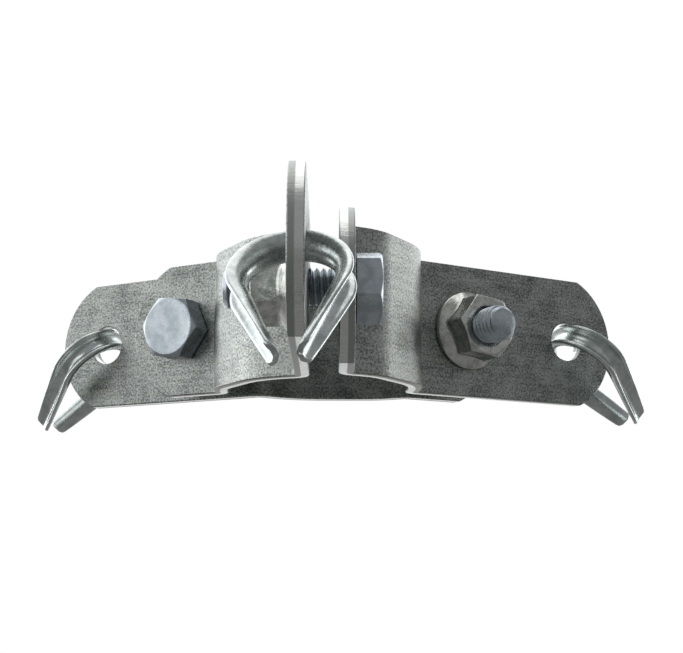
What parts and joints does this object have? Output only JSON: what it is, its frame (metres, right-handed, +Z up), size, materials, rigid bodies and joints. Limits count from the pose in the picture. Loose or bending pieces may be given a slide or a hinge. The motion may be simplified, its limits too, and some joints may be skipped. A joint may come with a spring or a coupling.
{
  "type": "three-way mast clamp",
  "caption": "Bolted mast clamp of bent steel strip segments, with an eye and a rope thimble on each ear for guy ropes.",
  "frame": {"origin": "on the mast's axis at half the height of the strip", "axes": "+Z up along the mast; -Y towards the front ear; +X towards the right joint's side"},
  "size_m": [0.1509, 0.1337, 0.0376],
  "materials": {
    "galvanised_sheet": "matte",
    "zinc_plated_bolt": "satin",
    "zinc_plated_nut": "gloss",
    "bright_zinc_thimble": "gloss"
  },
  "bodies": {
    "back_segment": {"segment_back": "galvanised_sheet", "bolt_right": "zinc_plated_bolt"},
    "front_left_segment": {"segment_front_left": "galvanised_sheet", "bolt_left": "zinc_plated_bolt"},
    "front_right_segment": {"segment_front_right": "galvanised_sheet", "bolt_front": "zinc_plated_bolt"},
    "left_nut": {"flange_nut_left": "zinc_plated_nut"},
    "front_nut": {"flange_nut_front": "zinc_plated_nut"},
    "right_nut": {"flange_nut_right": "zinc_plated_nut"},
    "left_thimble": {"thimble_left": "bright_zinc_thimble"},
    "front_thimble": {"thimble_front": "bright_zinc_thimble"},
    "right_thimble": {"thimble_right": "bright_zinc_thimble"}
  },
  "joints": [
    {"name": "front_left_spread", "type": "slide", "parent": "back_segment", "child": "front_left_segment", "axis": [-0.5, -0.866, 0], "range_m": [-0.0045, 0.004]},
    {"name": "left_nut_turn", "type": "hinge", "parent": "back_segment", "child": "left_nut", "pos_m": [-0.02669, 0.02217, 0], "axis": [0.5, 0.866, 0], "range_deg": [-1296.1, 1152.1]},
    {"name": "front_right_spread", "type": "slide", "parent": "back_segment", "child": "front_right_segment", "axis": [0.5, -0.866, 0], "range_m": [-0.0045, 0.004]},
    {"name": "front_nut_turn", "type": "hinge", "parent": "front_left_segment", "child": "front_nut", "pos_m": [-0.00585, -0.0342, 0], "axis": [-1, 0, 0], "range_deg": [-1296.1, 1152.1]},
    {"name": "right_nut_turn", "type": "hinge", "parent": "front_right_segment", "child": "right_nut", "pos_m": [0.03254, 0.01203, 0], "axis": [0.5, -0.866, 0], "range_deg": [-1296.1, 1152.1]},
    {"name": "front_thimble_swing", "type": "hinge", "parent": "front_left_segment", "child": "front_thimble", "pos_m": [-0.00515, -0.0632, 0], "axis": [1, 0, 0], "range_deg": [-168, 72]},
    {"name": "right_thimble_swing", "type": "hinge", "parent": "front_right_segment", "child": "right_thimble", "pos_m": [0.05731, 0.02714, 0], "axis": [-0.5, 0.866, 0], "range_deg": [-160, 80]},
    {"name": "left_thimble_swing", "type": "hinge", "parent": "back_segment", "child": "left_thimble", "pos_m": [-0.05216, 0.03606, 0], "axis": [-0.5, -0.866, 0], "range_deg": [-164, 76]}
  ],
  "couplings": [
    {"joint": "front_right_spread", "follows": "front_left_spread", "ratio": 1},
    {"joint": "left_nut_turn", "follows": "front_left_spread", "rad_per_m": 5026.5},
    {"joint": "front_nut_turn", "follows": "front_left_spread", "rad_per_m": 5026.5},
    {"joint": "right_nut_turn", "follows": "front_left_spread", "rad_per_m": 5026.5}
  ]
}
